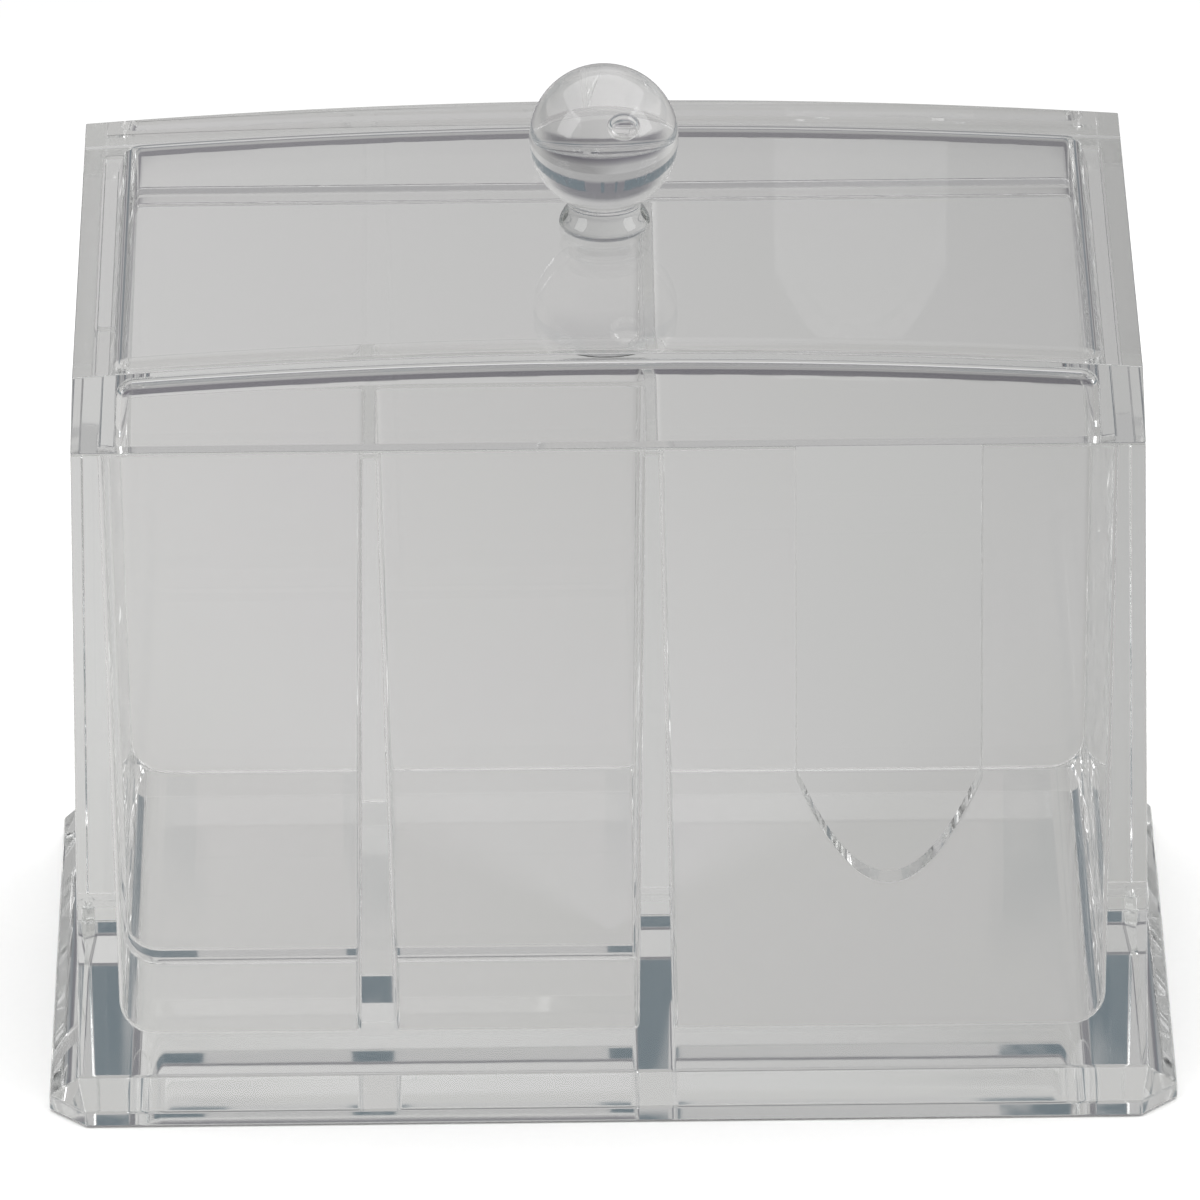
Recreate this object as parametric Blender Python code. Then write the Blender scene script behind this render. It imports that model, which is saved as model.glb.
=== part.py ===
"""Clear moulded bathroom storage box with four bays, a thumb slot and a lift-off lid.

The box stands on z = 0. The origin is the middle of its underside, X runs along the
front from left to right, Y runs from the front to the back, and Z is up. Every size is
in metres.
"""

import math

import bmesh
import bpy

# Outer body, measured at the rim. Each wall leans out by the draft on its way to the foot.
BODY_WIDTH = 0.1460
BODY_DEPTH = 0.0850
BODY_DRAFT = 0.0010
RIM_HEIGHT = 0.1003

# Flared foot, moulded in one with the body: a short upright edge, then a slope to the wall
FOOT_OVERHANG = 0.0042
FOOT_EDGE_HEIGHT = 0.0022
FOOT_SLOPE_HEIGHT = 0.0034
FOOT_CORNER_CUT = 0.0052

# Walls and floor. A wall is thicker at the floor, so that the moulding slides off its core.
SIDE_WALL_AT_RIM = 0.0036
SIDE_WALL_AT_FLOOR = 0.0058
FRONT_WALL_AT_RIM = 0.0032
FRONT_WALL_AT_FLOOR = 0.0043
FLOOR_HEIGHT = 0.0105
FLOOR_ROUND = 0.0050

# Dividers, moulded in one with the body. Their tops stay below the rim, clear of the lid.
DIVIDER_AT_TOP = 0.0017
DIVIDER_AT_FLOOR = 0.0046
DIVIDER_DROP = 0.0020
MAIN_DIVIDER_X = 0.0060
SHORT_DIVIDER_X = -0.0325
CROSS_DIVIDER_FROM_FRONT = 0.0272

# Thumb slot in the front wall of the right bay, centred on that bay's mouth
THUMB_SLOT_WIDTH = 0.0252
THUMB_SLOT_BOTTOM = 0.0343
THUMB_SLOT_CURVE_HEIGHT = 0.0160

# Lid. Its top is arched from left to right and straight from front to back.
LID_CORNER_HEIGHT = 0.0112
LID_RISE = 0.0028
LID_DRAFT = 0.0005
LID_TOP_THICKNESS = 0.0030
LIP_THICKNESS = 0.0018
LIP_DROP = 0.0012
LIP_CLEARANCE = 0.0003

# Ball knob, cemented on the crown of the lid
KNOB_BALL_RADIUS = 0.0103
KNOB_NECK_RADIUS = 0.0051
KNOB_NECK_HEIGHT = 0.0038
KNOB_COLLAR_RADIUS = 0.0063
KNOB_COLLAR_HEIGHT = 0.0019
KNOB_COLLAR_EDGE = 0.0007

# Gap between pieces that touch, and how far a cut or a joining block runs past a surface
SEAT_GAP = 0.0003
OVERRUN = 0.0015

# Facets
ARCH_STEPS = 28
SLOT_STEPS = 20
ROUND_STEPS = 6
KNOB_TURN_STEPS = 32
KNOB_BALL_STEPS = 16

# Finish: clear plastic in front of white, which reads as a light neutral grey
BODY_COLOUR = (0.80, 0.81, 0.80, 1.0)
LID_COLOUR = (0.82, 0.82, 0.82, 1.0)
KNOB_COLOUR = (0.84, 0.84, 0.85, 1.0)
PLASTIC_ROUGHNESS = 0.04
SMOOTH_ANGLE = math.radians(30)

# Worked out from the sizes above
HALF_WIDTH = BODY_WIDTH / 2
HALF_DEPTH = BODY_DEPTH / 2
FOOT_TOP = FOOT_EDGE_HEIGHT + FOOT_SLOPE_HEIGHT
DIVIDER_TOP = RIM_HEIGHT - DIVIDER_DROP
CROSS_DIVIDER_Y = CROSS_DIVIDER_FROM_FRONT - HALF_DEPTH
LID_BASE = RIM_HEIGHT + SEAT_GAP
LID_CORNER = LID_BASE + LID_CORNER_HEIGHT
LID_CROWN = LID_CORNER + LID_RISE
LID_TOP_HALF_WIDTH = HALF_WIDTH - LID_DRAFT
ARCH_RADIUS = (LID_TOP_HALF_WIDTH**2 + LID_RISE**2) / (2 * LID_RISE)
ARCH_CENTRE = LID_CROWN - ARCH_RADIUS
LIP_BOTTOM = RIM_HEIGHT - LIP_DROP
LIP_HALF_WIDTH = HALF_WIDTH - SIDE_WALL_AT_RIM - LIP_CLEARANCE
LIP_HALF_DEPTH = HALF_DEPTH - FRONT_WALL_AT_RIM - LIP_CLEARANCE
KNOB_BASE = LID_CROWN + SEAT_GAP


def thickness(at_top, at_floor, top):
    """Thickness of a tapered wall, as a function of the height. top is where it starts."""

    def at(z):
        return at_top + (at_floor - at_top) * (top - z) / (top - FLOOR_HEIGHT)

    return at


def lean(z):
    """How far the outer walls stand outside the rim's outline at a height."""
    return BODY_DRAFT * (RIM_HEIGHT - z) / (RIM_HEIGHT - FOOT_TOP)


side_wall = thickness(SIDE_WALL_AT_RIM, SIDE_WALL_AT_FLOOR, RIM_HEIGHT)
front_wall = thickness(FRONT_WALL_AT_RIM, FRONT_WALL_AT_FLOOR, RIM_HEIGHT)
divider = thickness(DIVIDER_AT_TOP, DIVIDER_AT_FLOOR, DIVIDER_TOP)


def clear_scene():
    for thing in list(bpy.data.objects):
        bpy.data.objects.remove(thing, do_unlink=True)


def clear_plastic(name, colour):
    material = bpy.data.materials.new(name)
    material.use_nodes = True
    surface = material.node_tree.nodes["Principled BSDF"]
    surface.inputs["Base Color"].default_value = colour
    surface.inputs["Roughness"].default_value = PLASTIC_ROUGHNESS
    surface.inputs["Metallic"].default_value = 0.0
    return material


def make_object(name, bm, material=None, parent=None):
    """An object made from a mesh in world places. Its origin is its parent's, or zero."""
    bmesh.ops.recalc_face_normals(bm, faces=bm.faces)
    if parent is not None:
        bmesh.ops.translate(bm, vec=-parent.location, verts=bm.verts)
    mesh = bpy.data.meshes.new(name)
    bm.to_mesh(mesh)
    bm.free()
    if material is not None:
        mesh.materials.append(material)
    piece = bpy.data.objects.new(name, mesh)
    piece.parent = parent
    bpy.context.scene.collection.objects.link(piece)
    return piece


def combine(target, tool, operation):
    """Cuts the tool out of the target, or joins it on, with a live modifier."""
    tool.hide_render = True
    tool.display_type = "WIRE"
    boolean = target.modifiers.new(operation.lower() + "_" + tool.name, "BOOLEAN")
    boolean.operation = operation
    boolean.solver = "EXACT"
    boolean.object = tool


def shade(piece):
    piece.data.shade_smooth()
    piece.data.set_sharp_from_angle(angle=SMOOTH_ANGLE)


def highest_face(bm):
    return max(bm.faces, key=lambda face: face.calc_center_median().z)


def lowest_face(bm):
    return min(bm.faces, key=lambda face: face.calc_center_median().z)


def extrude(bm, face):
    """Extrudes one face in place, and gives the new face's corners to be moved."""
    grown = bmesh.ops.extrude_face_region(bm, geom=[face])
    bmesh.ops.delete(bm, geom=[face], context="FACES_ONLY")
    return [item for item in grown["geom"] if isinstance(item, bmesh.types.BMVert)]


def tapered_block(low_z, high_z, half_width_at, half_depth_at, middle_x=0.0, middle_y=0.0):
    """A four-sided block between two heights, whose half sizes depend on the height."""
    bm = bmesh.new()
    bmesh.ops.create_cube(bm, size=1.0)
    for vert in bm.verts:
        z = high_z if vert.co.z > 0 else low_z
        vert.co.x = middle_x + math.copysign(half_width_at(z), vert.co.x)
        vert.co.y = middle_y + math.copysign(half_depth_at(z), vert.co.y)
        vert.co.z = z
    return bm


def outer_body():
    """The outside as one solid: the foot's upright edge, its slope and the four walls."""
    foot_half_width = HALF_WIDTH + BODY_DRAFT + FOOT_OVERHANG
    foot_half_depth = HALF_DEPTH + BODY_DRAFT + FOOT_OVERHANG
    bm = tapered_block(0.0, FOOT_EDGE_HEIGHT, lambda z: foot_half_width, lambda z: foot_half_depth)
    uprights = [edge for edge in bm.edges if edge.verts[0].co.z != edge.verts[1].co.z]
    bmesh.ops.bevel(
        bm, geom=uprights, offset=FOOT_CORNER_CUT, segments=1, profile=0.5,
        affect="EDGES", material=-1,
    )
    # The slope closes on the sharp corners of the body, two corners of the foot to each
    ring = extrude(bm, highest_face(bm))
    for vert in ring:
        vert.co.x = math.copysign(HALF_WIDTH + BODY_DRAFT, vert.co.x)
        vert.co.y = math.copysign(HALF_DEPTH + BODY_DRAFT, vert.co.y)
        vert.co.z = FOOT_TOP
    bmesh.ops.remove_doubles(bm, verts=ring, dist=SEAT_GAP)
    for vert in extrude(bm, highest_face(bm)):
        vert.co.x = math.copysign(HALF_WIDTH, vert.co.x)
        vert.co.y = math.copysign(HALF_DEPTH, vert.co.y)
        vert.co.z = RIM_HEIGHT
    return bm


def inside_of_body():
    """The hollow, down to the floor, with a round edge along the foot of each end wall."""
    bm = tapered_block(
        FLOOR_HEIGHT,
        RIM_HEIGHT + OVERRUN,
        lambda z: HALF_WIDTH + lean(z) - side_wall(z),
        lambda z: HALF_DEPTH + lean(z) - front_wall(z),
    )
    floor = lowest_face(bm)
    ends = [edge for edge in floor.edges if edge.verts[0].co.x == edge.verts[1].co.x]
    bmesh.ops.bevel(
        bm, geom=ends, offset=FLOOR_ROUND, segments=ROUND_STEPS, profile=0.5,
        affect="EDGES", material=-1,
    )
    return bm


def divider_along_y(middle_x, front_y, back_y):
    return tapered_block(
        FLOOR_HEIGHT - OVERRUN,
        DIVIDER_TOP,
        lambda z: divider(z) / 2,
        lambda z: (back_y - front_y) / 2,
        middle_x=middle_x,
        middle_y=(front_y + back_y) / 2,
    )


def divider_along_x(middle_y, left_x, right_x):
    return tapered_block(
        FLOOR_HEIGHT - OVERRUN,
        DIVIDER_TOP,
        lambda z: (right_x - left_x) / 2,
        lambda z: divider(z) / 2,
        middle_x=(left_x + right_x) / 2,
        middle_y=middle_y,
    )


def thumb_slot():
    """Upright sides and a bottom that is a parabola, cut right through the front wall."""
    bay_left = MAIN_DIVIDER_X + DIVIDER_AT_TOP / 2
    bay_right = HALF_WIDTH - SIDE_WALL_AT_RIM
    centre = (bay_left + bay_right) / 2
    half = THUMB_SLOT_WIDTH / 2
    front = -HALF_DEPTH - BODY_DRAFT - OVERRUN
    top = RIM_HEIGHT + OVERRUN
    bm = bmesh.new()
    outline = [bm.verts.new((centre + half, front, top)), bm.verts.new((centre - half, front, top))]
    for step in range(SLOT_STEPS + 1):
        across_share = 2 * step / SLOT_STEPS - 1
        z = THUMB_SLOT_BOTTOM + THUMB_SLOT_CURVE_HEIGHT * across_share**2
        outline.append(bm.verts.new((centre + half * across_share, front, z)))
    grown = bmesh.ops.extrude_face_region(bm, geom=[bm.faces.new(outline)])
    for item in grown["geom"]:
        if isinstance(item, bmesh.types.BMVert):
            item.co.y = FRONT_WALL_AT_FLOOR + OVERRUN - HALF_DEPTH
    return bm


def arched_block(base_z, base_half_width, top_half_width, arch_radius, half_depth_at):
    """A block under an arch. It is drawn as its front outline and pushed to the back."""
    bm = bmesh.new()
    outline = [bm.verts.new((side * base_half_width, 0.0, base_z)) for side in (-1, 1)]
    for step in range(ARCH_STEPS + 1):
        x = top_half_width * (1 - 2 * step / ARCH_STEPS)
        z = ARCH_CENTRE + math.sqrt(arch_radius**2 - x**2)
        outline.append(bm.verts.new((x, 0.0, z)))
    grown = bmesh.ops.extrude_face_region(bm, geom=[bm.faces.new(outline)])
    back = {item for item in grown["geom"] if isinstance(item, bmesh.types.BMVert)}
    for vert in bm.verts:
        vert.co.y = half_depth_at(vert.co.z) * (1 if vert in back else -1)
    return bm


def lid_draft(z, from_z):
    """How far a face of the lid has leaned inwards at a height."""
    return LID_DRAFT * (z - from_z) / (LID_CORNER - from_z)


def outer_lid():
    """The lid as one solid, with the lip that drops into the mouth of the body."""
    bm = arched_block(
        LID_BASE, HALF_WIDTH, LID_TOP_HALF_WIDTH, ARCH_RADIUS,
        lambda z: HALF_DEPTH - lid_draft(z, LID_BASE),
    )
    base = lowest_face(bm)
    bmesh.ops.inset_region(bm, faces=[base], thickness=LIP_THICKNESS)
    for vert in base.verts:
        vert.co.x = math.copysign(LIP_HALF_WIDTH, vert.co.x)
        vert.co.y = math.copysign(LIP_HALF_DEPTH, vert.co.y)
    for vert in extrude(bm, base):
        vert.co.z = LIP_BOTTOM
    return bm


def inside_of_lid():
    half_width = LIP_HALF_WIDTH - LIP_THICKNESS
    half_depth = LIP_HALF_DEPTH - LIP_THICKNESS
    return arched_block(
        LIP_BOTTOM - OVERRUN, half_width, half_width - LID_DRAFT, ARCH_RADIUS - LID_TOP_THICKNESS,
        lambda z: half_depth - lid_draft(z, LIP_BOTTOM),
    )


def knob_mesh():
    """A turned outline: flat base, tapered collar, neck and ball, spun round the Z axis."""
    points = [
        (0.0, KNOB_BASE),
        (KNOB_COLLAR_RADIUS, KNOB_BASE),
        (KNOB_COLLAR_RADIUS, KNOB_BASE + KNOB_COLLAR_EDGE),
        (KNOB_NECK_RADIUS, KNOB_BASE + KNOB_COLLAR_HEIGHT),
    ]
    ball_start = -math.acos(KNOB_NECK_RADIUS / KNOB_BALL_RADIUS)
    ball_centre = KNOB_BASE + KNOB_NECK_HEIGHT - KNOB_BALL_RADIUS * math.sin(ball_start)
    for step in range(KNOB_BALL_STEPS):
        angle = ball_start + (math.pi / 2 - ball_start) * step / KNOB_BALL_STEPS
        height = ball_centre + KNOB_BALL_RADIUS * math.sin(angle)
        points.append((KNOB_BALL_RADIUS * math.cos(angle), height))
    points.append((0.0, ball_centre + KNOB_BALL_RADIUS))

    bm = bmesh.new()
    verts = [bm.verts.new((radius, 0.0, z)) for radius, z in points]
    edges = [bm.edges.new(pair) for pair in zip(verts, verts[1:])]
    bmesh.ops.spin(
        bm, geom=verts + edges, cent=(0, 0, 0), axis=(0, 0, 1), dvec=(0, 0, 0),
        angle=math.tau, steps=KNOB_TURN_STEPS, use_merge=True,
    )
    poles = [vert for vert in bm.verts if vert.co.xy.length < SEAT_GAP]
    bmesh.ops.remove_doubles(bm, verts=poles, dist=SEAT_GAP)
    return bm


def build_tub():
    tub = make_object("container_tub", outer_body(), clear_plastic("tub_plastic", BODY_COLOUR))
    end_x = HALF_WIDTH - SIDE_WALL_AT_RIM / 2
    end_y = HALF_DEPTH - FRONT_WALL_AT_RIM / 2
    combine(tub, make_object("inside_of_body", inside_of_body()), "DIFFERENCE")
    combine(tub, make_object("thumb_slot", thumb_slot()), "DIFFERENCE")
    # Each divider's ends are sunk halfway into what they join
    dividers = {
        "main_divider": divider_along_y(MAIN_DIVIDER_X, -end_y, end_y),
        "cross_divider": divider_along_x(CROSS_DIVIDER_Y, -end_x, MAIN_DIVIDER_X),
        "short_divider": divider_along_y(SHORT_DIVIDER_X, -end_y, CROSS_DIVIDER_Y),
    }
    for name, bm in dividers.items():
        combine(tub, make_object(name, bm), "UNION")
    shade(tub)


def build_lid():
    """The lid and its knob hang from an empty on the line along which the lid lifts."""
    lift = bpy.data.objects.new("lid_lift", None)
    lift.location = (0.0, 0.0, RIM_HEIGHT)
    bpy.context.scene.collection.objects.link(lift)

    lid_material = clear_plastic("lid_plastic", LID_COLOUR)
    lid = make_object("lid_cover", outer_lid(), lid_material, lift)
    combine(lid, make_object("inside_of_lid", inside_of_lid(), None, lift), "DIFFERENCE")
    shade(lid)

    knob_material = clear_plastic("knob_plastic", KNOB_COLOUR)
    shade(make_object("lid_knob", knob_mesh(), knob_material, lift))


clear_scene()
build_tub()
build_lid()
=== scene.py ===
# %% [markdown]
# # A clear storage box with an arched lid and a ball knob
#
# The real object is a bathroom box of clear polished plastic. One moulding makes the tub
# with its foot, its four bays and the thumb slot, a second makes the lid, and a turned
# ball knob is cemented on the crown of the lid. All its character is in what light does
# inside clear plastic, so this lesson spends its effort on edges, on thickness and on
# what the plastic sees around it.
#
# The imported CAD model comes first. It is a fixed frame: nothing in it is moved, and each
# new piece rides on one of its bodies.

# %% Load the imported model
import math

import bmesh
import bpy
from mathutils import Matrix, Vector


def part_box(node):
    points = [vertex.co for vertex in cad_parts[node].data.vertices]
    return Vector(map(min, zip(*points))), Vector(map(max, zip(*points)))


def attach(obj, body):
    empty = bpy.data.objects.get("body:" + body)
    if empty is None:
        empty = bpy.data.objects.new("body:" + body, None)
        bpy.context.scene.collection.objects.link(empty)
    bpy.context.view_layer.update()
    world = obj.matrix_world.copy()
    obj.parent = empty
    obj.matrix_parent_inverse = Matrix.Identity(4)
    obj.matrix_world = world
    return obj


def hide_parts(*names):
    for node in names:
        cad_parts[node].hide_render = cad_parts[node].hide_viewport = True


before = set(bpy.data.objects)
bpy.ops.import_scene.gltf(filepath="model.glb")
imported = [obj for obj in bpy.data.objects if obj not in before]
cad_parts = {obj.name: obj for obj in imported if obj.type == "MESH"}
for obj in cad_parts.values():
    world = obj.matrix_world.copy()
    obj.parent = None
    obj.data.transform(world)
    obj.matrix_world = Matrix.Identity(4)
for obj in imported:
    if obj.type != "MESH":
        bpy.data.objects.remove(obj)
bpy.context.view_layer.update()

# %% [markdown]
# ## Where the camera stands
#
# The photograph is taken with a long lens from some 26 degrees above the table. The
# nearly parallel edges of the body give the distance, about two metres, and the slight
# tilt of the seam gives the roll. A camera could be placed by hand with its location and
# Euler angles. Here its matrix is put together from three turns about the middle of the
# box, so that each number stays one that could be read off a tripod.

# %% Camera
MM = 0.001
AIM = Vector((0.0, 0.0, 60 * MM))
CAMERA_DISTANCE = 2048 * MM
ELEVATION = math.radians(26)
SWING = math.radians(-0.31)
ROLL = math.radians(-0.48)
LENS = 440.5
SHIFT = (-0.0063, -0.0163)


def place_camera():
    camera = bpy.data.objects.new("camera", bpy.data.cameras.new("camera"))
    bpy.context.scene.collection.objects.link(camera)
    turn = (
        Matrix.Rotation(SWING, 4, "Z")
        @ Matrix.Rotation(math.pi / 2 - ELEVATION, 4, "X")
        @ Matrix.Rotation(ROLL, 4, "Z")
    )
    back_off = Matrix.Translation((0, 0, CAMERA_DISTANCE))
    camera.matrix_world = Matrix.Translation(AIM) @ turn @ back_off
    camera.data.lens = LENS
    camera.data.shift_x, camera.data.shift_y = SHIFT
    bpy.context.scene.camera = camera
    return camera


camera = place_camera()
print("camera at", [round(value, 3) for value in camera.matrix_world.translation])

# %% [markdown]
# ## Shader maths as Python
#
# Node graphs for moulded plastic are mostly sums and products of noise. Wiring each Math
# node by hand hides the idea, so a small class wraps a socket and lets Python's own
# operators add the nodes. One method makes any other node.


# %% A socket that Python can do sums with
class Wire:
    """An output socket. Arithmetic on it adds Math nodes to its tree."""

    def __init__(self, tree, socket):
        self.tree, self.socket = tree, socket

    def math(self, operation, *values):
        return Shader(self.tree).node("ShaderNodeMath", {"operation": operation}, *values)

    def __add__(self, other):
        return self.math("ADD", self, other)

    def __sub__(self, other):
        return self.math("SUBTRACT", self, other)

    def __rsub__(self, other):
        return self.math("SUBTRACT", other, self)

    def __mul__(self, other):
        return self.math("MULTIPLY", self, other)

    def __truediv__(self, other):
        return self.math("DIVIDE", self, other)

    def __pow__(self, other):
        return self.math("POWER", self, other)

    __radd__, __rmul__ = __add__, __mul__


class Shader:
    """A node tree, with one method that adds any node."""

    def __init__(self, tree):
        self.tree = tree

    def node(self, kind, settings=None, *values, out=0, **named):
        """Adds a node. Settings come first, then the values or links of its sockets."""
        made = self.tree.nodes.new(kind)
        for key, value in (settings or {}).items():
            if key == "stops":
                set_stops(made.color_ramp, value)
            else:
                setattr(made, key, value)
        sockets = list(enumerate(values)) + [
            (key.replace("_", " "), value) for key, value in named.items()
        ]
        for key, value in sockets:
            if isinstance(value, Wire):
                self.tree.links.new(value.socket, made.inputs[key])
            else:
                made.inputs[key].default_value = value
        return Wire(self.tree, made.outputs[out])


def set_stops(ramp, stops):
    """Gives a colour ramp its stops, as pairs of a place and a grey or a colour."""
    while len(ramp.elements) > 1:
        ramp.elements.remove(ramp.elements[-1])
    for index, (place, colour) in enumerate(stops):
        stop = ramp.elements[0] if index == 0 else ramp.elements.new(place)
        stop.position = place
        stop.color = colour if len(colour) == 4 else (*colour, 1.0)


print("shader helpers ready")

# %% [markdown]
# ## Clear plastic
#
# Polished clear plastic bends light (its index is 1.49), reflects a little at every
# surface and swallows a little in its depth, which is why the thick base and the edges of
# the walls look darker than the thin walls. The Principled shader does the first two with
# its Transmission and IOR sockets, and a Volume Absorption node does the third.
#
# A real moulding is never perfectly flat or perfectly clean. It carries the slow waves of
# the mould's polish, hairline scratches and faint smears from handling. They are noise at
# three scales: a very weak slow bump, fine stretched streaks, and a roughness that wanders.
# Two places are scuffed as well, and are found by their height: the seam, where the lid
# rests on the rim, and the underside, on which the box is slid about. One even roughness
# would be simpler, but the plastic would then look like a new lens all over.


# %% The plastic's material
PLASTIC_INDEX = 1.49
PLASTIC_DEPTH_COLOUR = (0.77, 0.785, 0.772, 1.0)
PLASTIC_DENSITY = 3.0
POLISHED, SMEARED, SEAT_SCUFF, UNDER_SCUFF = 0.004, 0.02, 0.03, 0.02
HAIRLINE_HEIGHT = 0.004
SEAM_HEIGHT = 100.45 * MM
# How far from its height a scuff is whole, and how far from it it has faded away
SEAT_FADE, UNDER_FADE = (0.25 * MM, 0.5 * MM), (0.1 * MM, 0.4 * MM)


def distance(wire, value):
    """How far a value is from another, in either direction."""
    difference = wire - value
    return difference.math("ABSOLUTE", difference)


def fade(shader, wire, near, far):
    """One up to a near value, falling softly to nothing at a far one."""
    return shader.node(
        "ShaderNodeMapRange", {"interpolation_type": "SMOOTHSTEP"}, wire, near, far, 1.0, 0.0,
    )


def clear_plastic(name, tint, other_tint, wave_height):
    """Clear plastic whose tint wanders between two colours, with faint handling marks."""
    material = bpy.data.materials.new(name)
    material.use_nodes = True
    tree = material.node_tree
    shader = Shader(tree)
    surface = tree.nodes["Principled BSDF"]
    place = shader.node("ShaderNodeTexCoord", out="Object")

    slow = shader.node("ShaderNodeTexNoise", None, Vector=place, Scale=38.0, Detail=2.0)
    smear = shader.node("ShaderNodeTexNoise", None, Vector=place, Scale=120.0, Detail=5.0)
    stretched = shader.node(
        "ShaderNodeMapping", None, Vector=place, Rotation=(0.35, 0.2, 0.6),
        Scale=(1.0, 14.0, 1.0),
    )
    hairs = shader.node("ShaderNodeTexNoise", None, Vector=stretched, Scale=260.0, Detail=3.0)

    colour = shader.node("ShaderNodeMix", {"data_type": "RGBA"}, slow, out=2)
    mix = colour.socket.node
    mix.inputs[6].default_value = (*tint, 1.0)
    mix.inputs[7].default_value = (*other_tint, 1.0)
    tree.links.new(colour.socket, surface.inputs["Base Color"])

    # Scuffs: where the lid rests on the rim, and below, where the box is slid about
    height_up = shader.node("ShaderNodeSeparateXYZ", None, place, out="Z")
    seat = fade(shader, distance(height_up, SEAM_HEIGHT), *SEAT_FADE)
    under = fade(shader, height_up, *UNDER_FADE)
    roughness = POLISHED + SMEARED * (smear**6) + seat * SEAT_SCUFF + under * UNDER_SCUFF
    tree.links.new(roughness.socket, surface.inputs["Roughness"])

    height = slow * wave_height + (hairs**8) * HAIRLINE_HEIGHT
    bump = shader.node("ShaderNodeBump", None, Height=height, Strength=0.25, Distance=1 * MM)
    tree.links.new(bump.socket, surface.inputs["Normal"])

    surface.inputs["Transmission Weight"].default_value = 1.0
    surface.inputs["IOR"].default_value = PLASTIC_INDEX
    depth = shader.node(
        "ShaderNodeVolumeAbsorption", None, Color=PLASTIC_DEPTH_COLOUR, Density=PLASTIC_DENSITY,
    )
    tree.links.new(depth.socket, tree.nodes["Material Output"].inputs["Volume"])
    return material


tub_plastic = clear_plastic(
    "tub_plastic", (0.955, 0.96, 0.95), (0.965, 0.955, 0.965), wave_height=0.04,
)
lid_plastic = clear_plastic(
    "lid_plastic", (0.95, 0.953, 0.95), (0.96, 0.952, 0.956), wave_height=0.04,
)
knob_plastic = clear_plastic(
    "knob_plastic", (0.96, 0.96, 0.965), (0.97, 0.962, 0.968), wave_height=0.03,
)
print("materials:", tub_plastic.name, lid_plastic.name, knob_plastic.name)

# %% [markdown]
# ## The tub and the lid
#
# The CAD solids already have the right walls, bays and slot. What they lack are the small
# radii that every moulded edge has. On clear plastic these radii are most of what is seen:
# each one is a thin lens that draws a bright line and a dark line. So each solid's
# triangles are copied, welded and joined back into whole flat faces, and a Bevel modifier
# rounds the edges. A Weighted Normal modifier then keeps the big faces optically flat.
#
# The inner corners are filled first, because a mould's cutter can't leave them sharp: by
# 0.8 mm in the bays, and by 2.4 mm under the crown of the lid, where the wide round draws
# the dark lines that frame it. The Bevel modifier could do this too, but it has one radius
# for the whole piece, so a bmesh bevel on chosen edges is used. The outer edges of the lid
# are also rounded that way, since a wider modifier would run into the thin lip. The
# modifier's overlap clamp is off: one short edge would shrink the radius everywhere.


# %% Helpers for the moulded pieces
WELD = 0.001 * MM
FLAT = math.radians(0.1)
SHARP = math.radians(28)


def copy_of(node):
    """A welded copy of a CAD node's triangles, with its flat faces whole again."""
    bm = bmesh.new()
    bm.from_mesh(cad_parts[node].data)
    bmesh.ops.remove_doubles(bm, verts=bm.verts, dist=WELD)
    bmesh.ops.dissolve_limit(bm, angle_limit=FLAT, verts=bm.verts, edges=bm.edges)
    return bm


def fillet(bm, edges, radius, segments=4):
    """Fills sharp inner corners with a round, as a mould's cutter leaves them."""
    bmesh.ops.bevel(
        bm, geom=edges, offset=radius, segments=segments, profile=0.5, affect="EDGES",
        material=-1, clamp_overlap=False,
    )
    return bm


def inner_corners(bm, half_width, half_depth, low_z):
    """Sharp concave edges within a half width and half depth that reach above a height."""

    def inside(vert):
        return abs(vert.co.x) < half_width and abs(vert.co.y) < half_depth

    return [
        edge for edge in bm.edges
        if len(edge.link_faces) == 2 and not edge.is_convex
        and edge.calc_face_angle() > SHARP and all(inside(vert) for vert in edge.verts)
        and max(vert.co.z for vert in edge.verts) > low_z
    ]


def outer_edges(bm, half_width, half_depth):
    """The sharp convex edges that lie wholly outside a half width and half depth."""

    def outside(vert):
        return abs(vert.co.x) > half_width or abs(vert.co.y) > half_depth

    return [
        edge for edge in bm.edges
        if len(edge.link_faces) == 2 and edge.is_convex
        and edge.calc_face_angle() > SHARP and all(outside(vert) for vert in edge.verts)
    ]


def piece(name, bm, material, body):
    """A finished mesh as a piece that rides on a body."""
    mesh = bpy.data.meshes.new(name)
    bm.to_mesh(mesh)
    bm.free()
    mesh.shade_smooth()
    mesh.materials.clear()
    mesh.materials.append(material)
    made = bpy.data.objects.new(name, mesh)
    bpy.context.scene.collection.objects.link(made)
    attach(made, body)
    return made


def round_edges(made, radius):
    """Rounds the sharp edges and keeps the shading of the large faces flat."""
    bevel = made.modifiers.new("edge_radius", "BEVEL")
    bevel.width = radius
    bevel.segments = 3
    bevel.limit_method = "ANGLE"
    bevel.angle_limit = SHARP
    bevel.miter_outer = "MITER_ARC"
    bevel.use_clamp_overlap = False
    flat = made.modifiers.new("flat_faces", "WEIGHTED_NORMAL")
    flat.weight = 100
    return made


# %% The tub
BAY_ROUND, TUB_EDGE = 0.8 * MM, 0.3 * MM
FOOT_REACH, BAYS_FROM = 6 * MM, 5 * MM
tub_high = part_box("container_tub")[1]
tub_bm = copy_of("container_tub")
bay_corners = inner_corners(
    tub_bm, tub_high.x - FOOT_REACH, tub_high.y - FOOT_REACH, BAYS_FROM,
)
fillet(tub_bm, bay_corners, BAY_ROUND)
tub = piece("clear_tub", tub_bm, tub_plastic, "tub")
round_edges(tub, TUB_EDGE)
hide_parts("container_tub")
print("tub:", len(tub.data.polygons), "faces,", len(bay_corners), "inner corners filled")

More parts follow.
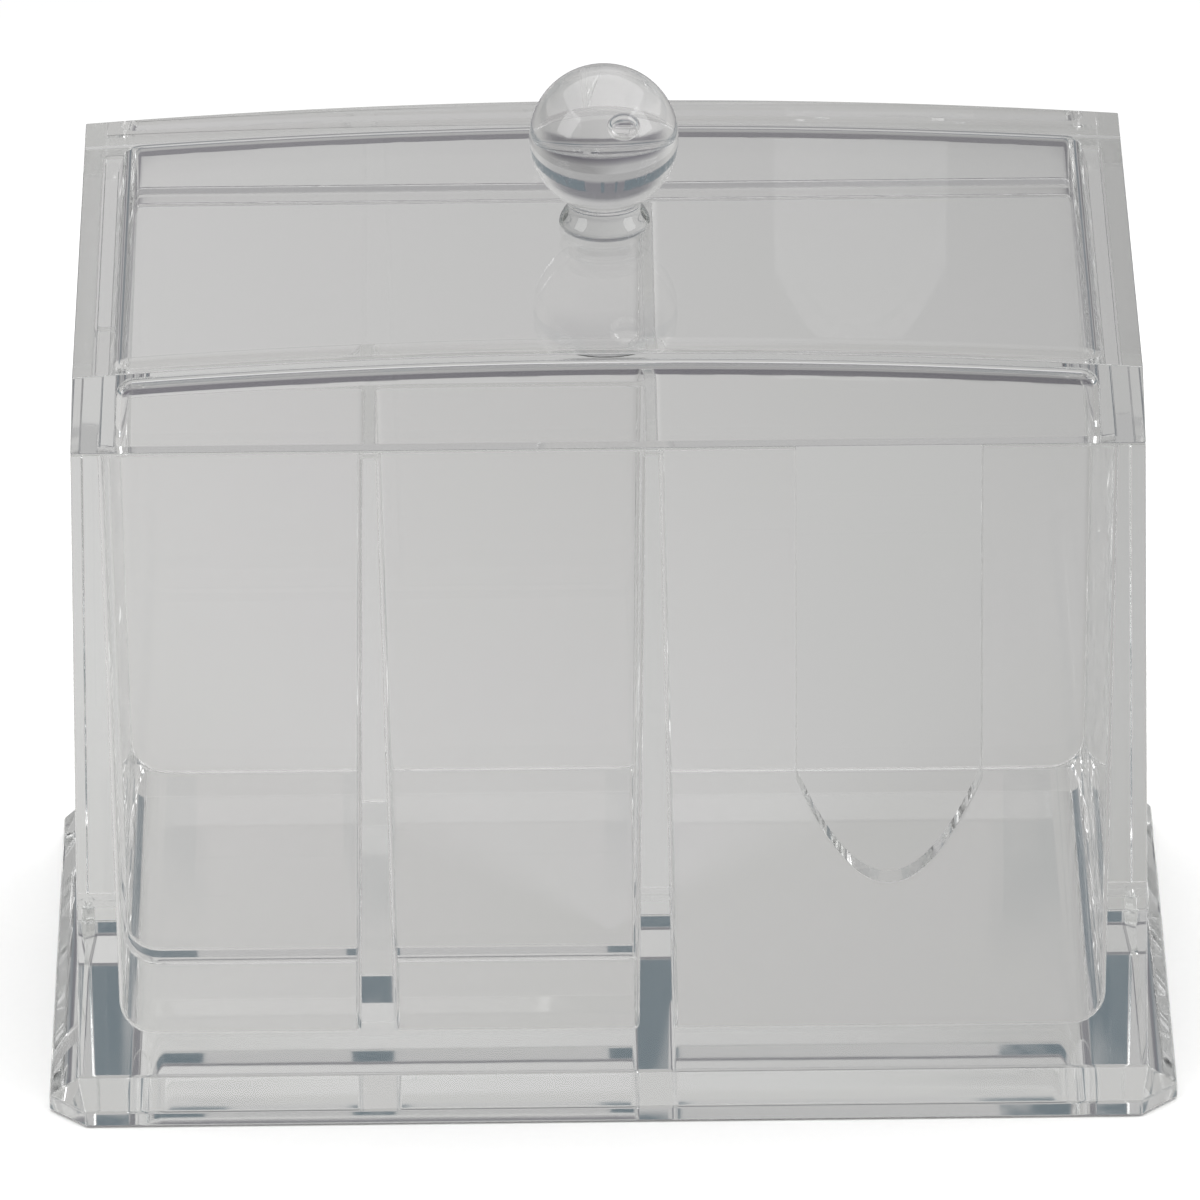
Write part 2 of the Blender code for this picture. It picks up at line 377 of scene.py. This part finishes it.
# %% The lid
CROWN_ROUND, OUTER_ROUND, LID_EDGE = 2.4 * MM, 0.15 * MM, 0.1 * MM
LID_SKIN = 2 * MM
END_WALL_REACH, FRONT_WALL_REACH, CROWN_FROM = 5 * MM, 4.5 * MM, 101 * MM
lid_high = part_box("lid_cover")[1]
lid_bm = copy_of("lid_cover")
fillet(lid_bm, outer_edges(lid_bm, lid_high.x - LID_SKIN, lid_high.y - LID_SKIN), OUTER_ROUND)
crown_corners = inner_corners(
    lid_bm, lid_high.x - END_WALL_REACH, lid_high.y - FRONT_WALL_REACH, CROWN_FROM,
)
fillet(lid_bm, crown_corners, CROWN_ROUND, segments=6)
lid = piece("clear_lid", lid_bm, lid_plastic, "lid")
round_edges(lid, LID_EDGE)
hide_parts("lid_cover")
print("lid:", len(lid.data.polygons), "faces,", len(crown_corners), "inner corners filled")

# %% [markdown]
# ## The ball knob
#
# The knob is turned and polished from one rod: a ball on a short neck that flares into a
# collar. It starts as a UV sphere, which has no seam to polish. The sphere is cut open
# above the neck, and its rim is then extruded down ring by ring, as a wood turner would
# work along the blank. A small air bubble sits near the middle of the ball. In a solid of
# plastic a bubble is a wall like any other, with its faces turned towards the air.

# %% The knob
BALL_RADIUS = 10.3 * MM
NECK_RADIUS = 5.1 * MM
knob_low, knob_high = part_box("lid_knob")
BALL_CENTRE = knob_high.z - BALL_RADIUS
# Rings below the ball: height above the base and radius
KNOB_RINGS_MM = (
    (3.2, 5.08), (2.9, 5.12), (2.6, 5.22), (2.3, 5.38), (2.0, 5.56), (1.7, 5.75),
    (1.4, 5.92), (1.1, 6.07), (0.8, 6.19), (0.55, 6.26), (0.3, 6.28), (0.1, 6.24),
    (-0.15, 6.1), (-0.4, 5.9),
)


def turned_knob():
    bm = bmesh.new()
    bmesh.ops.create_uvsphere(bm, u_segments=96, v_segments=72, radius=BALL_RADIUS)
    cut_depth = math.sqrt(BALL_RADIUS**2 - NECK_RADIUS**2)
    bmesh.ops.bisect_plane(
        bm, geom=bm.verts[:] + bm.edges[:] + bm.faces[:], plane_co=(0, 0, -cut_depth),
        plane_no=(0, 0, 1), clear_inner=True, dist=WELD,
    )
    bmesh.ops.translate(bm, vec=(0, 0, BALL_CENTRE), verts=bm.verts)
    rim = [edge for edge in bm.edges if edge.is_boundary]
    for height, radius in KNOB_RINGS_MM:
        grown = bmesh.ops.extrude_edge_only(bm, edges=rim)["geom"]
        ring = [item for item in grown if isinstance(item, bmesh.types.BMVert)]
        rim = [item for item in grown if isinstance(item, bmesh.types.BMEdge)]
        for vert in ring:
            flat = Vector((vert.co.x, vert.co.y)).normalized() * (radius * MM)
            vert.co = (flat.x, flat.y, knob_low.z + height * MM)
    bmesh.ops.edgeloop_fill(bm, edges=rim)
    bmesh.ops.recalc_face_normals(bm, faces=bm.faces)
    return bm


def add_bubble(bm, centre, radii):
    """An air bubble: an egg-shaped inner wall, with its faces turned towards the air."""
    made = bmesh.ops.create_uvsphere(bm, u_segments=32, v_segments=20, radius=1.0)["verts"]
    bmesh.ops.scale(bm, vec=radii, verts=made)
    bmesh.ops.translate(bm, vec=centre, verts=made)
    faces = {face for vert in made for face in vert.link_faces}
    bmesh.ops.reverse_faces(bm, faces=list(faces))


knob_bm = turned_knob()
BUBBLE_CENTRE = (2.0 * MM, -0.9 * MM, BALL_CENTRE + 1.6 * MM)
BUBBLE_RADII = (1.7 * MM, 1.5 * MM, 1.35 * MM)
add_bubble(knob_bm, BUBBLE_CENTRE, BUBBLE_RADII)
knob = piece("ball_knob", knob_bm, knob_plastic, "lid")
# The round faces are smooth, and the one under the collar stays flat
for face in knob.data.polygons:
    face.use_smooth = len(face.vertices) <= 4
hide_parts("lid_knob")
print("knob:", len(knob.data.polygons), "faces")

# %% [markdown]
# ## The table and the room
#
# Clear plastic has hardly any colour of its own, so what surrounds it matters as much as
# its material. A photographer would stand the box on a white table and set boards and
# cards around it until its edges can be read. The same is done here.
#
# The table is a flat white disc. Near the box it is matt paper that takes the shadow, and
# further out it turns into an even white for the camera. Rays that come out of the plastic
# see the table as a ring of greys instead, painted light and shade that the camera never
# sees: pale close to the box, dark beyond that, and middle grey at the far edge, all a
# little brighter on the left as painted light. The pale ring gives the walls their tone
# and the dark ring of painted shade draws the lines in the lid. A curved sweep would suit
# the camera as well, but its slope would show as one more band in every edge.

# %% The painted light and shade that the plastic sees on the table
TABLE_RADIUS = 1.6
# The table as the plastic sees it, in painted light and shade: a place as a share of
# its radius, and a grey
TABLE_GREYS = (
    (0.0, (0.61, 0.61, 0.605)), (0.175, (0.59, 0.59, 0.585)), (0.19, (0.15, 0.145, 0.165)),
    (0.34, (0.15, 0.145, 0.165)), (0.48, (0.37, 0.37, 0.37)), (1.0, (0.4, 0.4, 0.4)),
)
TABLE_SIDE_GREY = (0.56, 0.56, 0.55, 1.0)
# The greys at the sides turn into those behind the box between these two shares, each the
# part of a distance that lies straight back
BESIDE, BEHIND = 0.6, 0.9
# Painted light: how much brighter the left of the table is than the right, and within
# what distance
DRIFT_REACH, DRIFT_LEFT, DRIFT_RIGHT = 0.12, 1.2, 0.8


def table_greys(shader, place, radius):
    """The painted light and shade at a point of the table, by its distance and by its side."""
    tree = shader.tree
    back = shader.node("ShaderNodeSeparateXYZ", None, place, out="Y")
    side_grey = fade(shader, back / radius, BESIDE, BEHIND)
    depth_grey = shader.node(
        "ShaderNodeValToRGB", {"stops": TABLE_GREYS}, radius / TABLE_RADIUS,
    )
    far_grey = shader.node("ShaderNodeMix", {"data_type": "RGBA"}, side_grey, out=2)
    tree.links.new(depth_grey.socket, far_grey.socket.node.inputs[6])
    far_grey.socket.node.inputs[7].default_value = TABLE_SIDE_GREY
    across = Wire(tree, back.socket.node.outputs["X"])
    # Painted light: the left of the table brighter than the right
    drift = shader.node(
        "ShaderNodeMapRange", None, across, -DRIFT_REACH, DRIFT_REACH, DRIFT_LEFT, DRIFT_RIGHT,
    )
    return shader.node("ShaderNodeVectorMath", {"operation": "SCALE"}, far_grey, Scale=drift)


print("greys:", len(TABLE_GREYS), "stops out to", TABLE_RADIUS, "m")

# %% The table's material
PAPER, OTHER_PAPER = (0.93, 0.93, 0.93, 1.0), (0.95, 0.95, 0.95, 1.0)
# Where the matt paper with the shadow starts and ends to turn into an even white
SHADOW_NEAR, SHADOW_FAR = 0.14, 0.36
WHITE = (1.0, 1.0, 1.0, 1.0)


def table_material():
    """White for the camera, paper where the shadow falls, painted light and shade for the
    plastic.
    """
    material = bpy.data.materials.new("white_table")
    material.use_nodes = True
    tree = material.node_tree
    shader = Shader(tree)
    place = shader.node("ShaderNodeTexCoord", out="Object")
    radius = shader.node("ShaderNodeVectorMath", {"operation": "LENGTH"}, place, out="Value")
    camera_ray = shader.node("ShaderNodeLightPath", out="Is Camera Ray")
    path = camera_ray.socket.node
    glossy_ray = Wire(tree, path.outputs["Is Glossy Ray"])
    clear_ray = Wire(tree, path.outputs["Is Transmission Ray"])
    seen = shader.node(
        "ShaderNodeMath", {"operation": "ADD", "use_clamp": True},
        camera_ray, glossy_ray + clear_ray,
    )
    grain = shader.node("ShaderNodeTexNoise", None, Vector=place, Scale=900.0, Detail=3.0)
    paper = shader.node("ShaderNodeMix", {"data_type": "RGBA"}, grain, out=2)
    paper.socket.node.inputs[6].default_value = PAPER
    paper.socket.node.inputs[7].default_value = OTHER_PAPER
    near = tree.nodes["Principled BSDF"]
    near.inputs["Roughness"].default_value = 0.9
    near.inputs["Specular IOR Level"].default_value = 0.0
    tree.links.new(paper.socket, near.inputs["Base Color"])
    white = shader.node("ShaderNodeMix", {"data_type": "RGBA"}, camera_ray, out=2)
    greys = table_greys(shader, place, radius)
    tree.links.new(greys.socket, white.socket.node.inputs[6])
    white.socket.node.inputs[7].default_value = WHITE
    # The glow carries the painted light and shade that the plastic sees, and white for the
    # camera
    glow = shader.node("ShaderNodeEmission", None, Color=white, Strength=1.0)
    away = 1.0 - fade(shader, radius, SHADOW_NEAR, SHADOW_FAR)
    blend = shader.node(
        "ShaderNodeMixShader", None,
        shader.node("ShaderNodeMath", {"operation": "MAXIMUM"}, seen * away, clear_ray),
    )
    tree.links.new(near.outputs[0], blend.socket.node.inputs[1])
    tree.links.new(glow.socket, blend.socket.node.inputs[2])
    tree.links.new(blend.socket, tree.nodes["Material Output"].inputs["Surface"])
    return material


white_table = table_material()
print("material:", white_table.name)

# %% The table
TABLE_DROP = 0.25 * MM


def table_mesh():
    bm = bmesh.new()
    bmesh.ops.create_circle(bm, cap_ends=True, segments=96, radius=TABLE_RADIUS)
    bmesh.ops.translate(bm, vec=(0, 0, -TABLE_DROP), verts=bm.verts)
    return bm


def staged(name, bm, material):
    """A thing of the studio, which is no part of the box."""
    mesh = bpy.data.meshes.new(name)
    bm.to_mesh(mesh)
    bm.free()
    mesh.materials.append(material)
    made = bpy.data.objects.new(name, mesh)
    bpy.context.scene.collection.objects.link(made)
    return made


table = staged("white_table", table_mesh(), white_table)
print("table:", TABLE_RADIUS, "m in radius")

# %% [markdown]
# ## Dark cards of painted shade
#
# Dark cards beside glassware keep its edges from fading into a white background. Here they
# are painted shade: dark sheets with a faint glow, seen only by rays that are reflected or
# refracted. They hang in a ring, higher than the lid, and the thick foot gathers them into
# slate patches of painted shade in its corners. The ring is open in front and behind, where
# two narrow cards take its place: a closed ring would darken the whole foot. Noise thins the
# painted shade in upright streaks, so that the patches aren't flat. Shade painted on the
# foot itself would be wrong from every other side. The camera doesn't see the cards, and
# they cast no shadow.

# %% The dark cards of painted shade
CARD_RADIUS = 340 * MM
CARD_LOW, CARD_HIGH = 125 * MM, 190 * MM
# The colour of the cards' painted shade
CARD_SHADE_COLOUR = (0.14, 0.18, 0.205, 1.0)
OPEN_HALF_WIDTH = 60 * MM
# How much of a card's height is solid before it fades at its top and bottom
SOLID_SHARE = 0.6
# How strongly the streaks vary the painted shade, and how much it covers on average
SHADE_STREAK_CONTRAST, MEAN_COVER = 4.5, 1.2
# The two narrow cards behind the box: middle and width
NARROW_CARDS_MM = ((7, 11), (-38, 7))


def card_mesh():
    bm = bmesh.new()
    bmesh.ops.create_circle(bm, segments=96, radius=CARD_RADIUS)
    grown = bmesh.ops.extrude_edge_only(bm, edges=bm.edges[:])["geom"]
    upper = [item for item in grown if isinstance(item, bmesh.types.BMVert)]
    bmesh.ops.translate(bm, vec=(0, 0, CARD_HIGH - CARD_LOW), verts=upper)
    middle = [face for face in bm.faces if abs(face.calc_center_median().x) < OPEN_HALF_WIDTH]
    bmesh.ops.delete(bm, geom=middle, context="FACES")
    bmesh.ops.translate(bm, vec=(0, 0, CARD_LOW), verts=bm.verts)
    upright = Matrix.Rotation(math.pi / 2, 4, "X")
    for place, width in NARROW_CARDS_MM:
        made = bmesh.ops.create_grid(bm, x_segments=1, y_segments=1, size=0.5)["verts"]
        size = Matrix.Diagonal((width * MM, CARD_HIGH - CARD_LOW, 1, 1))
        where = Matrix.Translation((place * MM, CARD_RADIUS, (CARD_LOW + CARD_HIGH) / 2))
        bmesh.ops.transform(bm, matrix=where @ upright @ size, verts=made)
    return bm


def shade_card_material():
    material = bpy.data.materials.new("painted_shade_card")
    material.use_nodes = True
    tree = material.node_tree
    shader = Shader(tree)
    place = shader.node("ShaderNodeTexCoord", out="Object")
    height = shader.node("ShaderNodeSeparateXYZ", None, place, out="Z")
    half = (CARD_HIGH - CARD_LOW) / 2
    solid = fade(shader, distance(height, CARD_LOW + half), half * SOLID_SHARE, half)
    # Painted shade thinned in upright streaks, so that the patches in the foot aren't flat
    upright = shader.node("ShaderNodeMapping", None, Vector=place, Scale=(1.0, 1.0, 0.3))
    shade_streaks = shader.node("ShaderNodeTexNoise", None, Vector=upright, Scale=100.0, Detail=2.0)
    cover = solid * ((shade_streaks - 0.5) * SHADE_STREAK_CONTRAST + MEAN_COVER)
    # The painted shade: a faint dark glow that only reflected and refracted rays see
    glow = shader.node("ShaderNodeEmission", None, Color=CARD_SHADE_COLOUR, Strength=1.0)
    clear = shader.node("ShaderNodeBsdfTransparent")
    blend = shader.node("ShaderNodeMixShader", None, cover, clear, glow)
    tree.links.new(blend.socket, tree.nodes["Material Output"].inputs["Surface"])
    return material


card = staged("painted_shade_cards", card_mesh(), shade_card_material())
card.visible_camera = card.visible_diffuse = card.visible_shadow = False
print("cards:", len(card.data.polygons), "faces,", CARD_RADIUS, "m from the middle")

# %% [markdown]
# ## The room
#
# The world is a dim room, given by height: dark near the floor behind the box, middle grey
# above that, paler at the sides, and white overhead like a ceiling. The camera sees plain
# white in its place. A plain grey world would light the box too, but nothing would then
# part one wall of the plastic from the next.

# %% The room
# The wall behind the box and those at its sides: the sine of a height, and a grey
BACK_WALL_GREYS = (
    (0.0, (0.4, 0.4, 0.4)), (0.05, (0.2, 0.2, 0.22)), (0.3, (0.21, 0.21, 0.225)),
    (0.42, (0.5, 0.5, 0.5)), (0.88, (0.52, 0.52, 0.51)), (0.95, (1.0, 1.0, 1.0)),
)
SIDE_WALL_GREYS = (
    (0.0, (0.57, 0.57, 0.56)), (0.88, (0.55, 0.55, 0.54)), (0.95, (1.0, 1.0, 1.0)),
)


def paint_room():
    """A dim room around the table, which only the plastic and the light see."""
    world = bpy.data.worlds.new("room")
    bpy.context.scene.world = world
    world.use_nodes = True
    tree = world.node_tree
    shader = Shader(tree)
    direction = shader.node("ShaderNodeTexCoord", out="Generated")
    up = shader.node("ShaderNodeSeparateXYZ", None, direction, out="Z")
    back = Wire(tree, up.socket.node.outputs["Y"])
    side_grey = fade(shader, back, BESIDE, BEHIND)
    back_wall = shader.node("ShaderNodeValToRGB", {"stops": BACK_WALL_GREYS}, up)
    side_wall = shader.node("ShaderNodeValToRGB", {"stops": SIDE_WALL_GREYS}, up)
    room = shader.node("ShaderNodeMix", {"data_type": "RGBA"}, side_grey, out=2)
    tree.links.new(back_wall.socket, room.socket.node.inputs[6])
    tree.links.new(side_wall.socket, room.socket.node.inputs[7])
    camera_ray = shader.node("ShaderNodeLightPath", out="Is Camera Ray")
    colour = shader.node("ShaderNodeMix", {"data_type": "RGBA"}, camera_ray, out=2)
    tree.links.new(room.socket, colour.socket.node.inputs[6])
    colour.socket.node.inputs[7].default_value = WHITE
    background = tree.nodes["Background"]
    tree.links.new(colour.socket, background.inputs["Color"])
    background.inputs["Strength"].default_value = 1.0
    return world


room = paint_room()
print("world:", room.name)

# %% [markdown]
# ## The lamps
#
# Three large softboxes, one overhead and one on each side, give a plain light with no
# hard shadow. Their sum with the room's own light is about one, the level at which a
# colour comes out as it is written. Narrow bright lamps would sparkle more, but each one
# would come back as a stray white spot inside the walls, so all three are wide.


# %% Softboxes
def softbox(name, place, size, power):
    light = bpy.data.lights.new(name, "AREA")
    light.shape = "RECTANGLE"
    light.size, light.size_y = size
    light.energy = power
    lamp = bpy.data.objects.new(name, light)
    bpy.context.scene.collection.objects.link(lamp)
    lamp.location = place
    lamp.rotation_mode = "QUATERNION"
    lamp.rotation_quaternion = (Vector(place) - AIM).to_track_quat("Z", "Y")
    return lamp


OVER_WATTS, SIDE_WATTS = 33.0, 6.5
SIDE_SIZE = (0.8, 1.0)
lamps = [
    softbox("softbox_over", (0.0, 0.15, 1.5), (3.0, 2.6), OVER_WATTS),
    softbox("softbox_left", (-1.35, -0.5, 0.95), SIDE_SIZE, SIDE_WATTS),
    softbox("softbox_right", (1.35, -0.4, 0.95), SIDE_SIZE, SIDE_WATTS),
]
# Seen through the plastic, the overhead box would burn white bars into every edge
lamps[0].visible_transmission = False
print("lamps:", [lamp.name for lamp in lamps])

# %% [markdown]
# ## Looking
#
# The view transform is Standard, so that white stays white. The walls of a clear box act
# as light pipes: a ray that enters by an edge is thrown from face to face inside the wall
# many times before it gets out. With Blender's own limit of twelve bounces such a ray ends
# in black, and the box is covered in black lines, so the limits are raised.

# %% Colour and ray depth
scene = bpy.context.scene
scene.view_settings.view_transform = "Standard"
scene.cycles.max_bounces = 64
scene.cycles.transmission_bounces = 40
scene.cycles.glossy_bounces = 64
print("ray depth:", scene.cycles.max_bounces)
